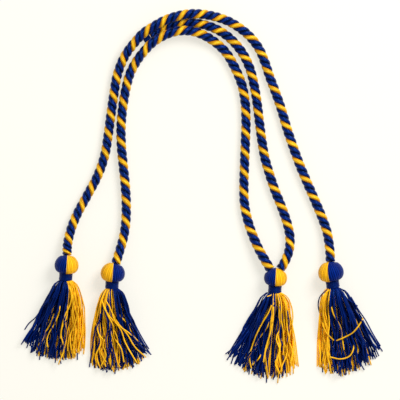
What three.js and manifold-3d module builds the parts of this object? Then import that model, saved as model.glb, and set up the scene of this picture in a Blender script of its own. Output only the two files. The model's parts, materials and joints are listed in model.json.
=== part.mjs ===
// Double honor cord, lying flat in an arch: three runs of twisted rope that end in four tassels.
// Millimetres, +Z up, the surface that it lies on is z = 0. The tassels hang towards -Y, and the
// origin is under the middle of the four tassels.

import * as THREE from 'three';
import { mergeVertices } from 'three/addons/utils/BufferGeometryUtils.js';
import Module from 'manifold-3d';

const wasm = await Module();
wasm.setup();

// Rope

const ROPE_DIAMETER = 9.6;
const ROPE_SIDES = 10;
// Length of one straight step along a rope, in rope diameters
const ROPE_STEP = 2.15;
const WHIPPING_LENGTH = 8;
const WHIPPING_DIAMETER = 9.2;
const WHIPPING_CHAMFER = 1;

// Tassel

const BALL_DIAMETER = 24;
// Distance from a ball's centre to the end of a rope in it, as a share of the ball's radius
const ROPE_SEAT = 0.89;
const SKIRT_LENGTH = 84;
const BAND_LENGTH = 8;
const BAND_DIAMETER = 13.8;
const BAND_WALL = 1.1;
const BAND_CHAMFER = 0.5;
// Distance from a ball's centre to its neck band, as a share of the ball's radius
const BAND_PLACE = 0.6;
// How far the yarn core runs past the neck band into the skirt
const CORE_TAIL = 3;
// How far the neck slopes down from the ball to the skirt, in degrees
const NECK_DROOP = 12;
const LOCK_WIDTH = 10;
const LOCK_THICKNESS = 12;

// Clearance between neighbouring pieces
const GAP = 0.3;

// Facets
const BALL_MERIDIANS = 16;
const BALL_PARALLELS = 9;
const ROUND_SIDES = 16;
const LOCK_SIDES = 8;
// Distance under which two vertices are one
const WELD = 1e-4;

const BLUE = { color: 0x14246e, roughness: 0.55, metalness: 0 };
const GOLD = { color: 0xf5b526, roughness: 0.5, metalness: 0 };
const ROPE_FINISH = { color: 0x1c2f86, roughness: 0.45, metalness: 0 };

// Rope routes, from end to end, as points of the rope's middle line [x, y, z]

// From the ball of tassel 1 over the arch to the ball of tassel 4
const OUTER_ROUTE = [
  [-134, 62.2, 11.3], [-133.6, 72, 9.6], [-130.5, 86, 6.9], [-124.5, 101.5, 5.3],
  [-113.5, 122, 4.9], [-103, 142, 4.9], [-96.2, 162, 4.9], [-92.8, 182, 4.9],
  [-90.3, 201, 4.9], [-87.4, 221, 4.9], [-83.4, 243, 6], [-75.5, 262, 9],
  [-65, 276, 12], [-57.5, 284, 13.6], [-49, 289.6, 14.1], [-36.5, 296.6, 14.1],
  [-23, 301.2, 13.3], [-10, 303.2, 12], [3, 302.6, 9.9], [15.5, 300, 7.2],
  [27.5, 295.7, 5.5], [39.5, 288.4, 4.9], [50, 279.2, 4.9], [58.2, 268, 4.9],
  [63.8, 255, 4.9], [68.8, 240, 4.9], [74.8, 224, 4.9], [80.3, 208, 4.9],
  [86, 188.5, 4.9], [92.2, 170, 4.9], [99.2, 151, 4.9], [107, 132.5, 4.9],
  [114.6, 115, 4.9], [121.6, 98, 5.2], [126.3, 83.5, 7], [128.9, 65.5, 10.2],
  [129.4, 55.6, 12],
];

// From the ball of tassel 2, inside the outer rope, to the ball of tassel 3
const INNER_ROUTE = [
  [-85.1, 53.8, 11.3], [-82.2, 63.4, 9.6], [-78.2, 77, 7], [-75.6, 91, 5.3],
  [-74.7, 109, 4.9], [-75.5, 129, 4.9], [-77.6, 150, 4.9], [-79.6, 171, 4.9],
  [-79.9, 191, 4.9], [-78.3, 209, 4.9], [-75.3, 227, 5.2], [-71, 243, 7],
  [-64.2, 256, 9.4], [-56, 266.7, 12.2], [-49, 273.8, 13.8], [-41, 279.4, 14.1],
  [-31, 284, 14], [-20, 286.3, 12.9], [-9, 285.8, 11.3], [1, 282.6, 9.5],
  [9, 278.3, 7.2], [18, 271.6, 5.4], [26, 263, 4.9], [34, 249, 4.9],
  [40.6, 233, 4.9], [44, 216, 4.9], [45, 196, 4.9], [44.4, 175, 4.9],
  [43.6, 154, 4.9], [42.9, 133, 4.9], [43.5, 113, 4.9], [47.2, 95, 5],
  [52, 81, 6], [58, 67.5, 7.8], [64.2, 56.4, 9.9], [69.3, 47.8, 11],
];

// From the ball of tassel 3, between the other two, to its end in the valley under them
const MIDDLE_ROUTE = [
  [79.6, 48, 11], [84.5, 56.8, 9.9], [88.3, 68, 7.4], [88.8, 81, 5.6],
  [85.8, 95, 4.9], [80.2, 111, 4.9], [74, 126.5, 4.9], [68.8, 142, 4.9],
  [63.9, 159, 4.9], [60.8, 177, 4.9], [58.3, 196, 4.9], [56.1, 214, 4.9],
  [53.3, 231, 4.9], [49.4, 247, 4.9], [43.8, 260, 4.9], [36, 271.4, 4.9],
  [26, 281.2, 4.9], [14, 288.4, 4.9], [1, 292.7, 4.9], [-12, 294.4, 4.9],
  [-24, 293.2, 4.9], [-35, 289.9, 4.9], [-43, 285.4, 4.9], [-50, 280, 4.9],
];

// Sections along a lock, from the neck to the tip. along is a share of its path, width and
// thickness are shares of the lock's own, and rise is a share of the neck's height.
const LOCK_SECTIONS = [
  { along: 0, width: 0.42, thickness: 0.7, rise: 1 },
  { along: 0.07, width: 0.74, thickness: 0.94, rise: 0.5 },
  { along: 0.2, width: 0.88, thickness: 1, rise: 0 },
  { along: 0.45, width: 1, thickness: 0.84, rise: 0 },
  { along: 0.72, width: 1, thickness: 0.62, rise: 0 },
  { along: 0.93, width: 0.8, thickness: 0.46, rise: 0 },
  { along: 1, width: 0.52, thickness: 0.34, rise: 0 },
];
// Where the shoulder and middle columns of a lock are measured, as shares of the skirt's length
const SHOULDER = 0.17;
const MIDDLE = 0.58;

// The four tassels. ball and skirt are shares of the ball's diameter and the skirt's length. lean
// turns the neck towards +X and split rolls the line between the two yarns, both in degrees.
// leftYarn is the yarn on the ball's -X side. A lock's root is a share of the core's radius; its
// shoulder, middle, tip and reach are shares of the tassel's own skirt length, and bulk is a share
// of the lock width and thickness.
const TASSELS = [
  {
    name: 'tassel_1', ball: 1, skirt: 0.95, lean: -4, split: 0, leftYarn: 'blue',
    locks: [
      { yarn: 'blue', root: -0.85, shoulder: -0.185, middle: -0.39, tip: -0.5, reach: 0.82, bulk: 0.88 },
      { yarn: 'blue', root: -0.6, shoulder: -0.14, middle: -0.3, tip: -0.38, reach: 0.92, bulk: 1 },
      { yarn: 'blue', root: -0.35, shoulder: -0.09, middle: -0.22, tip: -0.28, reach: 0.97, bulk: 1.08 },
      { yarn: 'blue', root: -0.15, shoulder: -0.045, middle: -0.14, tip: -0.18, reach: 1, bulk: 1 },
      { yarn: 'blue', root: 0, shoulder: 0, middle: -0.065, tip: -0.09, reach: 1.01, bulk: 1.06 },
      { yarn: 'gold', root: 0.2, shoulder: 0.045, middle: 0.01, tip: -0.005, reach: 1, bulk: 0.98 },
      { yarn: 'gold', root: 0.45, shoulder: 0.085, middle: 0.075, tip: 0.065, reach: 1, bulk: 1.05 },
      { yarn: 'gold', root: 0.65, shoulder: 0.12, middle: 0.13, tip: 0.125, reach: 0.97, bulk: 0.98 },
      { yarn: 'gold', root: 0.85, shoulder: 0.145, middle: 0.18, tip: 0.18, reach: 0.9, bulk: 0.88 },
    ],
  },
  {
    name: 'tassel_2', ball: 1.01, skirt: 1, lean: -4, split: 0, leftYarn: 'gold',
    locks: [
      { yarn: 'gold', root: -0.85, shoulder: -0.165, middle: -0.2, tip: -0.185, reach: 0.94, bulk: 0.9 },
      { yarn: 'gold', root: -0.6, shoulder: -0.125, middle: -0.145, tip: -0.12, reach: 0.99, bulk: 1 },
      { yarn: 'gold', root: -0.38, shoulder: -0.085, middle: -0.08, tip: -0.045, reach: 1, bulk: 1.06 },
      { yarn: 'gold', root: -0.15, shoulder: -0.03, middle: -0.01, tip: 0.035, reach: 1, bulk: 1 },
      { yarn: 'gold', root: 0.05, shoulder: 0.02, middle: 0.06, tip: 0.115, reach: 0.97, bulk: 1.05 },
      { yarn: 'blue', root: 0.28, shoulder: 0.065, middle: 0.13, tip: 0.205, reach: 0.95, bulk: 1.04 },
      { yarn: 'blue', root: 0.5, shoulder: 0.105, middle: 0.19, tip: 0.29, reach: 0.9, bulk: 0.98 },
      { yarn: 'blue', root: 0.68, shoulder: 0.135, middle: 0.24, tip: 0.36, reach: 0.86, bulk: 0.94 },
      { yarn: 'blue', root: 0.85, shoulder: 0.15, middle: 0.275, tip: 0.43, reach: 0.78, bulk: 0.8 },
    ],
  },
  {
    name: 'tassel_3', ball: 0.96, skirt: 1.025, lean: -3.5, split: 0, leftYarn: 'blue',
    locks: [
      { yarn: 'blue', root: -0.85, shoulder: -0.185, middle: -0.41, tip: -0.52, reach: 0.76, bulk: 0.82 },
      { yarn: 'blue', root: -0.65, shoulder: -0.15, middle: -0.335, tip: -0.44, reach: 0.86, bulk: 0.98 },
      { yarn: 'blue', root: -0.42, shoulder: -0.11, middle: -0.255, tip: -0.345, reach: 0.93, bulk: 1.04 },
      { yarn: 'blue', root: -0.2, shoulder: -0.065, middle: -0.18, tip: -0.245, reach: 0.97, bulk: 1.02 },
      { yarn: 'blue', root: 0, shoulder: -0.02, middle: -0.105, tip: -0.145, reach: 1, bulk: 1.06 },
      { yarn: 'gold', root: 0.2, shoulder: 0.03, middle: -0.03, tip: -0.045, reach: 1.01, bulk: 1.02 },
      { yarn: 'gold', root: 0.42, shoulder: 0.075, middle: 0.05, tip: 0.05, reach: 1, bulk: 1.06 },
      { yarn: 'gold', root: 0.62, shoulder: 0.12, middle: 0.125, tip: 0.145, reach: 0.96, bulk: 1 },
      { yarn: 'gold', root: 0.85, shoulder: 0.16, middle: 0.19, tip: 0.23, reach: 0.88, bulk: 0.86 },
    ],
  },
  {
    name: 'tassel_4', ball: 1.065, skirt: 1.035, lean: 8.5, split: -14, leftYarn: 'gold',
    locks: [
      { yarn: 'gold', root: -0.85, shoulder: -0.11, middle: -0.105, tip: -0.125, reach: 0.94, bulk: 0.9 },
      { yarn: 'gold', root: -0.55, shoulder: -0.075, middle: -0.055, tip: -0.05, reach: 0.98, bulk: 1 },
      { yarn: 'blue', root: -0.28, shoulder: -0.03, middle: 0.01, tip: 0.035, reach: 1.01, bulk: 1.04 },
      { yarn: 'blue', root: -0.08, shoulder: 0.015, middle: 0.075, tip: 0.115, reach: 1, bulk: 1 },
      { yarn: 'blue', root: 0.12, shoulder: 0.055, middle: 0.145, tip: 0.2, reach: 0.98, bulk: 1.06 },
      { yarn: 'blue', root: 0.32, shoulder: 0.095, middle: 0.215, tip: 0.29, reach: 0.94, bulk: 1 },
      { yarn: 'blue', root: 0.52, shoulder: 0.14, middle: 0.285, tip: 0.375, reach: 0.89, bulk: 1.04 },
      { yarn: 'blue', root: 0.7, shoulder: 0.165, middle: 0.345, tip: 0.45, reach: 0.83, bulk: 0.96 },
      { yarn: 'blue', root: 0.85, shoulder: 0.19, middle: 0.39, tip: 0.51, reach: 0.74, bulk: 0.8 },
    ],
  },
];

// A closed three.js geometry as a solid that can be joined and cut
function toSolid(geometry) {
  const bare = geometry.index ? geometry.toNonIndexed() : geometry.clone();
  bare.deleteAttribute('normal');
  bare.deleteAttribute('uv');
  const merged = mergeVertices(bare, WELD);
  return new wasm.Manifold(new wasm.Mesh({
    numProp: 3,
    vertProperties: new Float32Array(merged.attributes.position.array),
    triVerts: new Uint32Array(merged.index.array),
  }));
}

function toGeometry(solid) {
  const { vertProperties, triVerts } = solid.getMesh();
  const geometry = new THREE.BufferGeometry();
  geometry.setAttribute('position', new THREE.BufferAttribute(vertProperties, 3));
  geometry.setIndex(new THREE.BufferAttribute(triVerts, 1));
  geometry.computeVertexNormals();
  return geometry;
}

function joinAll(solids) {
  return solids.reduce((whole, solid) => whole.add(solid));
}

function vectors(route) {
  return route.map(([x, y, z]) => new THREE.Vector3(x, y, z));
}

// A matrix that takes a geometry's +Y from the origin to a place and direction
function alongDirection(place, direction) {
  const turn = new THREE.Quaternion().setFromUnitVectors(new THREE.Vector3(0, 1, 0), direction);
  return new THREE.Matrix4().compose(place, turn, new THREE.Vector3(1, 1, 1));
}

// A regular polygon with its corners at the given radius
function polygon(radius, sides) {
  const corners = Array.from({ length: sides }, (_, i) => {
    const angle = ((i + 0.5) * 2 * Math.PI) / sides;
    return new THREE.Vector2(radius * Math.cos(angle), radius * Math.sin(angle));
  });
  return new THREE.Shape(corners);
}

function ropeGeometry(route) {
  const path = new THREE.CatmullRomCurve3(vectors(route), false, 'centripetal');
  const steps = Math.round(path.getLength() / (ROPE_STEP * ROPE_DIAMETER));
  const section = polygon(ROPE_DIAMETER / 2, ROPE_SIDES);
  return new THREE.ExtrudeGeometry(section, { steps, extrudePath: path, bevelEnabled: false });
}

// A turned piece whose profile of [radius, height] points closes on itself or on the axis
function turned(profile) {
  return new THREE.LatheGeometry(profile.map(([r, h]) => new THREE.Vector2(r, h)), ROUND_SIDES);
}

// The bound end of a rope: a short round cap of thread that carries on the rope's last direction
function whippingGeometry(route) {
  const [before, end] = vectors(route).slice(-2);
  const direction = end.clone().sub(before).normalize();
  const radius = WHIPPING_DIAMETER / 2;
  const cap = turned([
    [0, 0], [radius, 0], [radius, WHIPPING_LENGTH - WHIPPING_CHAMFER],
    [radius - WHIPPING_CHAMFER, WHIPPING_LENGTH], [0, WHIPPING_LENGTH],
  ]);
  const place = end.clone().addScaledVector(direction, GAP);
  return cap.applyMatrix4(alongDirection(place, direction));
}

// A rope's end and the direction in which the rope leaves it
function ropeEnd(route) {
  const [end, next] = vectors(route);
  return { end, direction: next.sub(end).normalize() };
}

// The shallow round seat that a rope's end stands in, cut outwards from just behind that end
function ropeSeat(route, ballRadius) {
  const { end, direction } = ropeEnd(route);
  const radius = ROPE_DIAMETER / 2 + GAP;
  const seat = new THREE.CylinderGeometry(radius, radius, ballRadius, ROUND_SIDES);
  seat.translate(0, ballRadius / 2 - GAP, 0);
  return toSolid(seat.applyMatrix4(alongDirection(end, direction)));
}

// One tassel, in a frame with its ball at the origin and its neck down -Y. Its first rope's end
// gives the ball's place, and the ball lies on the surface.
class Tassel {
  constructor(row, routes) {
    Object.assign(this, row);
    this.routes = routes;
    this.ballRadius = (row.ball * BALL_DIAMETER) / 2;
    this.skirt = row.skirt * SKIRT_LENGTH;
    this.coreRadius = BAND_DIAMETER / 2 - BAND_WALL - GAP;
    this.bandTop = BAND_PLACE * this.ballRadius;
    this.bandEnd = this.bandTop + BAND_LENGTH;
    const rad = THREE.MathUtils.degToRad;
    const turn = new THREE.Euler(rad(NECK_DROOP), 0, rad(this.lean), 'ZXY');
    const { end, direction } = ropeEnd(routes[0]);
    const out = new THREE.Vector2(direction.x, direction.y).normalize();
    const seat = ROPE_SEAT * this.ballRadius;
    this.frame = new THREE.Matrix4().makeRotationFromEuler(turn);
    this.frame.setPosition(end.x - out.x * seat, end.y - out.y * seat, this.ballRadius);
    // The middle of the neck's end, where the skirt starts
    this.skirtTop = new THREE.Vector3(0, -this.bandEnd, 0).applyMatrix4(this.frame);
  }

  // A ring around the neck, larger all round by swell
  bandGeometry(swell) {
    const inner = BAND_DIAMETER / 2 - BAND_WALL - swell;
    const outer = BAND_DIAMETER / 2 + swell;
    const top = -this.bandTop + swell;
    const end = -this.bandEnd - swell;
    const ring = turned([
      [inner, end], [outer - BAND_CHAMFER, end], [outer, end + BAND_CHAMFER],
      [outer, top - BAND_CHAMFER], [outer - BAND_CHAMFER, top], [inner, top], [inner, end],
    ]);
    return ring.applyMatrix4(this.frame);
  }

  // The groove that the band lies in, open outwards past the ball's surface
  bandGroove() {
    const inner = this.coreRadius;
    const length = BAND_LENGTH + 2 * GAP;
    const ring = turned([
      [inner, 0], [this.ballRadius, 0], [this.ballRadius, length], [inner, length], [inner, 0],
    ]);
    ring.translate(0, -this.bandEnd - GAP, 0);
    return toSolid(ring.applyMatrix4(this.frame));
  }

  // The ball and the yarn core under it, on one side of the line between the yarns
  headSolid(yarn, swell) {
    const ball = new THREE.SphereGeometry(this.ballRadius + swell, BALL_MERIDIANS, BALL_PARALLELS);
    const coreLength = this.bandEnd + CORE_TAIL + swell;
    const radius = this.coreRadius + swell;
    const core = new THREE.CylinderGeometry(radius, radius, coreLength, ROUND_SIDES);
    core.translate(0, -coreLength / 2, 0);
    const side = yarn === this.leftYarn ? 1 : -1;
    const half = 2 * (BALL_DIAMETER + coreLength);
    const otherSide = new THREE.BoxGeometry(half, half, half);
    otherSide.translate(side * (half / 2 - GAP / 2 + swell), 0, 0);
    otherSide.rotateY(THREE.MathUtils.degToRad(this.split));
    const [round, stem, cut] = [ball, core, otherSide].map((part) =>
      toSolid(part.applyMatrix4(this.frame)));
    return round.add(stem).subtract(cut);
  }

  // A lock of yarn: a flat-bottomed tube whose rings follow the section table to the tip
  lockGeometry(lock, swell) {
    const plan = [
      [lock.root * this.coreRadius, 0],
      [lock.shoulder * this.skirt, SHOULDER * this.skirt],
      [lock.middle * this.skirt, MIDDLE * this.skirt],
      [lock.tip * this.skirt, lock.reach * this.skirt],
    ];
    const points = plan.map(([across, down]) => new THREE.Vector3(across, -down, 0));
    const path = new THREE.CatmullRomCurve3(points);
    const segments = LOCK_SECTIONS.length - 1;
    const flat = 1 / Math.cos(Math.PI / LOCK_SIDES);
    const tube = new THREE.CylinderGeometry(
      flat, flat, segments, LOCK_SIDES, segments, false, Math.PI / LOCK_SIDES);
    const position = tube.attributes.position;
    for (let i = 0; i < position.count; i += 1) {
      const section = LOCK_SECTIONS[Math.round(segments / 2 - position.getY(i))];
      const middle = path.getPointAt(section.along);
      const halfWidth = (section.width * lock.bulk * LOCK_WIDTH) / 2;
      const halfThickness = (section.thickness * lock.bulk * LOCK_THICKNESS) / 2;
      const height = THREE.MathUtils.lerp(halfThickness, this.skirtTop.z, section.rise);
      position.setXYZ(
        i,
        this.skirtTop.x + middle.x + position.getX(i) * (halfWidth + swell),
        this.skirtTop.y + middle.y + swell * (1 - 2 * section.along),
        height + position.getZ(i) * (halfThickness + swell),
      );
    }
    return tube;
  }

  // All of one yarn before its neighbours are cut out: half the ball, half the core and the locks
  wholeYarn(yarn, swell) {
    const locks = this.locks.filter((lock) => lock.yarn === yarn);
    const solids = locks.map((lock) => toSolid(this.lockGeometry(lock, swell)));
    return joinAll([this.headSolid(yarn, swell), ...solids]);
  }

  // The tassel's named pieces, with seats for the ropes that end in its ball
  pieces() {
    const seats = this.routes.map((route) => ropeSeat(route, this.ballRadius));
    const cuts = joinAll([this.bandGroove(), ...seats]);
    const gold = this.wholeYarn('gold', 0).subtract(cuts);
    const blue = this.wholeYarn('blue', 0).subtract(this.wholeYarn('gold', GAP)).subtract(cuts);
    return [
      { name: `${this.name}_blue_yarn`, finish: BLUE, geometry: toGeometry(blue) },
      { name: `${this.name}_gold_yarn`, finish: GOLD, geometry: toGeometry(gold) },
      { name: `${this.name}_neck_band`, finish: BLUE, geometry: this.bandGeometry(0) },
    ];
  }
}

const backwards = (route) => [...route].reverse();

// The routes that end in each tassel's ball, each starting at that ball
const ROPES_IN = {
  tassel_1: [OUTER_ROUTE],
  tassel_2: [INNER_ROUTE],
  tassel_3: [backwards(INNER_ROUTE), MIDDLE_ROUTE],
  tassel_4: [backwards(OUTER_ROUTE)],
};

const pieces = [
  { name: 'cord_outer', finish: ROPE_FINISH, geometry: ropeGeometry(OUTER_ROUTE) },
  { name: 'cord_inner', finish: ROPE_FINISH, geometry: ropeGeometry(INNER_ROUTE) },
  { name: 'cord_middle', finish: ROPE_FINISH, geometry: ropeGeometry(MIDDLE_ROUTE) },
  { name: 'cord_middle_whipping', finish: BLUE, geometry: whippingGeometry(MIDDLE_ROUTE) },
  ...TASSELS.flatMap((row) => new Tassel(row, ROPES_IN[row.name]).pieces()),
];

const group = new THREE.Group();
for (const { name, finish, geometry } of pieces) {
  const mesh = new THREE.Mesh(geometry, new THREE.MeshStandardMaterial(finish));
  mesh.name = name;
  group.add(mesh);
}

export default group;
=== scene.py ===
"""Double honor cord: three runs of twisted rope, four wound balls, their bands and loose skirts."""

import json
import logging
import math
from dataclasses import dataclass, field
from enum import Enum

import bmesh
import bpy
import numpy as np
from bpy.types import ID, Material, Node, NodeInputs, NodeSocket, NodeTree, Object
from mathutils import Euler, Matrix

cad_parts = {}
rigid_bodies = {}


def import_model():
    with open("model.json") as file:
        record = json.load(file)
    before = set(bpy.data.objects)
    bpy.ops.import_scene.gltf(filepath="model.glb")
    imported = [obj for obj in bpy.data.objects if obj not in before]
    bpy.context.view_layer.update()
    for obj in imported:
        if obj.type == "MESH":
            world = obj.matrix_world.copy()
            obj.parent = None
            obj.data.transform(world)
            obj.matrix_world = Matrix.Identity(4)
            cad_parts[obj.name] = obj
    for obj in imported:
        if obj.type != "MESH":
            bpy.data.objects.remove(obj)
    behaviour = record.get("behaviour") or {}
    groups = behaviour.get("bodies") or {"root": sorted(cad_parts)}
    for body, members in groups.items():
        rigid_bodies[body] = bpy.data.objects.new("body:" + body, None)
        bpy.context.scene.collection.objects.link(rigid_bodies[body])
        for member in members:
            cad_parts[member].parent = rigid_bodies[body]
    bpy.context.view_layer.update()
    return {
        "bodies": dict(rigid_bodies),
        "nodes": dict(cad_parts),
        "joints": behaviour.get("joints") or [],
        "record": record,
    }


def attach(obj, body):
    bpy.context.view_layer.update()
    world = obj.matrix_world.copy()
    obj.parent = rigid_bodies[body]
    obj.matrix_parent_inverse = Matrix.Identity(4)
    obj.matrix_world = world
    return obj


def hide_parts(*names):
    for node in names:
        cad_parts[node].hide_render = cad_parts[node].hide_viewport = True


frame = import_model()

LOG = logging.getLogger("honor_cord")
MM = 0.001
BODY = "root"

Array = np.ndarray
Colour = tuple[float, float, float]
Point = tuple[float, float, float]
Route = tuple[Point, ...]

# Routes of the three ropes' middle lines, in millimetres; where no height is given the rope lies flat

FLAT_HEIGHT = 4.9


def in_metres(route: tuple[tuple[float, ...], ...]) -> Route:
    """A route's points in metres, each with its height."""
    return tuple(
        tuple(round(value * MM, 4) for value in (*point, FLAT_HEIGHT)[:3]) for point in route
    )


OUTER_ROUTE = in_metres((
    (-134, 62.2, 11.3), (-133.6, 72, 9.6), (-130.5, 86, 6.9), (-124.5, 101.5, 5.3), (-113.5, 122),
    (-103, 142), (-96.2, 162), (-92.8, 182), (-90.3, 201), (-87.4, 221), (-83.4, 243, 6),
    (-75.5, 262, 9), (-65, 276, 12), (-57.5, 284, 13.6), (-49, 289.6, 14.1), (-36.5, 296.6, 14.1),
    (-23, 301.2, 13.3), (-10, 303.2, 12), (3, 302.6, 9.9), (15.5, 300, 7.2), (27.5, 295.7, 5.5),
    (39.5, 288.4), (50, 279.2), (58.2, 268), (63.8, 255), (68.8, 240), (74.8, 224), (80.3, 208),
    (86, 188.5), (92.2, 170), (99.2, 151), (107, 132.5), (114.6, 115), (121.6, 98, 5.2),
    (126.3, 83.5, 7), (128.9, 65.5, 10.2), (129.4, 55.6, 12),
))
INNER_ROUTE = in_metres((
    (-85.1, 53.8, 11.3), (-82.2, 63.4, 9.6), (-78.2, 77, 7), (-75.6, 91, 5.3), (-74.7, 109),
    (-75.5, 129), (-77.6, 150), (-79.6, 171), (-79.9, 191), (-78.3, 209), (-75.3, 227, 5.2),
    (-71, 243, 7), (-64.2, 256, 9.4), (-56, 266.7, 12.2), (-49, 273.8, 13.8), (-41, 279.4, 14.1),
    (-31, 284, 14), (-20, 286.3, 12.9), (-9, 285.8, 11.3), (1, 282.6, 9.5), (9, 278.3, 7.2),
    (18, 271.6, 5.4), (26, 263), (34, 249), (40.6, 233), (44, 216), (45, 196), (44.4, 175), (43.6, 154),
    (42.9, 133), (43.5, 113), (47.2, 95, 5), (52, 81, 6), (58, 67.5, 7.8), (64.2, 56.4, 9.9),
    (69.3, 47.8, 11),
))
MIDDLE_ROUTE = in_metres((
    (79.6, 48, 11), (84.5, 56.8, 9.9), (88.3, 68, 7.4), (88.8, 81, 5.6), (85.8, 95), (80.2, 111),
    (74, 126.5), (68.8, 142), (63.9, 159), (60.8, 177), (58.3, 196), (56.1, 214), (53.3, 231),
    (49.4, 247), (43.8, 260), (36, 271.4), (26, 281.2), (14, 288.4), (1, 292.7), (-12, 294.4),
    (-24, 293.2), (-35, 289.9), (-43, 285.4), (-50, 280),
))

# Sizes in metres, shares of sizes and an angle in degrees, as the solids have them

WHIPPING_LENGTH = 8 * MM
WHIPPING_DIAMETER = 9.2 * MM
BALL_DIAMETER = 24 * MM
ROPE_SEAT = 0.89
SKIRT_LENGTH = 84 * MM
BAND_LENGTH = 8 * MM
BAND_DIAMETER = 13.8 * MM
BAND_PLACE = 0.6
CORE_RADIUS = 5.5 * MM
NECK_DROOP = 12
LOCK_WIDTH = 10 * MM
LOCK_THICKNESS = 12 * MM
SHOULDER = 0.17
MIDDLE = 0.58
GAP = 0.3 * MM

# Sections of a lock: shares of its middle line, of its width and thickness and of the neck's height
LOCK_SECTIONS = {
    "along": (0, 0.07, 0.2, 0.45, 0.72, 0.93, 1),
    "width": (0.42, 0.74, 0.88, 1, 1, 0.8, 0.52),
    "thickness": (0.7, 0.94, 1, 0.84, 0.62, 0.46, 0.34),
    "rise": (1, 0.5, 0, 0, 0, 0, 0),
}


class Yarn(Enum):
    """The two yarns that a tassel is made of."""

    BLUE = "blue"
    GOLD = "gold"

    @property
    def other(self) -> "Yarn":
        """The other yarn."""
        return Yarn.GOLD if self is Yarn.BLUE else Yarn.BLUE


@dataclass(frozen=True)
class Lock:
    """One lock of a skirt, as the solid has it.

    root is a share of the neck's radius; shoulder, middle, tip and reach are shares of the
    skirt's length, and bulk is a share of the lock's width and thickness. under is the share of
    its lower strands that are in the other yarn.
    """

    yarn: Yarn
    root: float
    shoulder: float
    middle: float
    tip: float
    reach: float
    bulk: float
    under: float

    def section(self, column: str, along: Array) -> Array:
        """One column of the sections' table at shares of the lock's middle line."""
        return np.interp(along, LOCK_SECTIONS["along"], LOCK_SECTIONS[column])

    def half_width(self, along: Array) -> Array:
        """Half the lock's width at shares of its middle line."""
        return self.section("width", along) * self.bulk * LOCK_WIDTH / 2


@dataclass(frozen=True)
class Stray:
    """One strand with a way of its own, as points (x, y) in millimetres.

    One that isn't over the others has some of the loose strands across it.
    """

    yarn: Yarn
    plan: tuple[tuple[float, float], ...]
    over: bool = True


@dataclass(frozen=True)
class TasselPlan:
    """Sizes and layout of one tassel.

    ball and skirt are shares of the usual sizes, lean and split are angles in degrees, of the
    tassel's axis and of the line where the yarns meet, and left is the yarn on the left.
    """

    name: str
    ball: float
    skirt: float
    lean: float
    split: float
    left: Yarn
    locks: tuple[Lock, ...]
    strays: tuple[Stray, ...]


BLUE, GOLD = Yarn.BLUE, Yarn.GOLD

TASSEL_1 = TasselPlan(
    "tassel_1", ball=1, skirt=0.95, lean=-4, split=0, left=BLUE,
    locks=(
        Lock(BLUE, -0.85, -0.185, -0.39, -0.5, 0.82, 0.88, 0),
        Lock(BLUE, -0.6, -0.14, -0.3, -0.38, 0.92, 1, 0.15),
        Lock(BLUE, -0.35, -0.09, -0.22, -0.28, 0.97, 1.08, 0.2),
        Lock(BLUE, -0.15, -0.045, -0.14, -0.18, 1, 1, 0.2),
        Lock(BLUE, 0, 0, -0.065, -0.09, 1.01, 1.06, 0.25),
        Lock(GOLD, 0.2, 0.045, 0.01, -0.005, 1, 0.98, 1),
        Lock(GOLD, 0.45, 0.085, 0.075, 0.065, 1, 1.05, 0.25),
        Lock(GOLD, 0.65, 0.12, 0.13, 0.125, 0.97, 0.98, 0.05),
        Lock(GOLD, 0.85, 0.155, 0.18, 0.18, 0.9, 0.88, 0),
    ),
    strays=(
        Stray(GOLD, ((-131.8, 31.6), (-129.4, 20.2), (-131.4, 10.8), (-136.1, 1.5),
            (-139.1, -9.9), (-140.5, -21.3))),
        Stray(GOLD, ((-140.8, 14.8), (-141.5, 7.5), (-143.5, 0.1), (-147.5, -8.6),
            (-152.2, -16.6), (-154.2, -23.3), (-153.2, -30)), over=False),
        Stray(GOLD, ((-147, 3), (-149.5, -4), (-153, -11), (-156.5, -16), (-158, -22),
            (-163, -28.5), (-164.2, -33)), over=False),
        Stray(GOLD, ((-127.2, 27), (-126, 17), (-128.8, 6), (-128.1, -4), (-127.6, -13), (-128.5, -24))),
        Stray(GOLD, ((-129, 24), (-127.5, 12), (-124, 2), (-127, -9), (-132, -20), (-133.5, -34))),
        Stray(BLUE, ((-152, 18), (-157, 12), (-165, 0), (-172.3, -6.6), (-176.3, -12.6))),
        Stray(BLUE, ((-164, -4), (-173.6, -17.3), (-179.7, -27.3))),
        Stray(BLUE, ((-161, -9), (-170, -20), (-174.3, -30.7))),
        Stray(BLUE, ((-135, 16), (-137, -1), (-135, -18), (-139, -35))),
    ),
)
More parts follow.
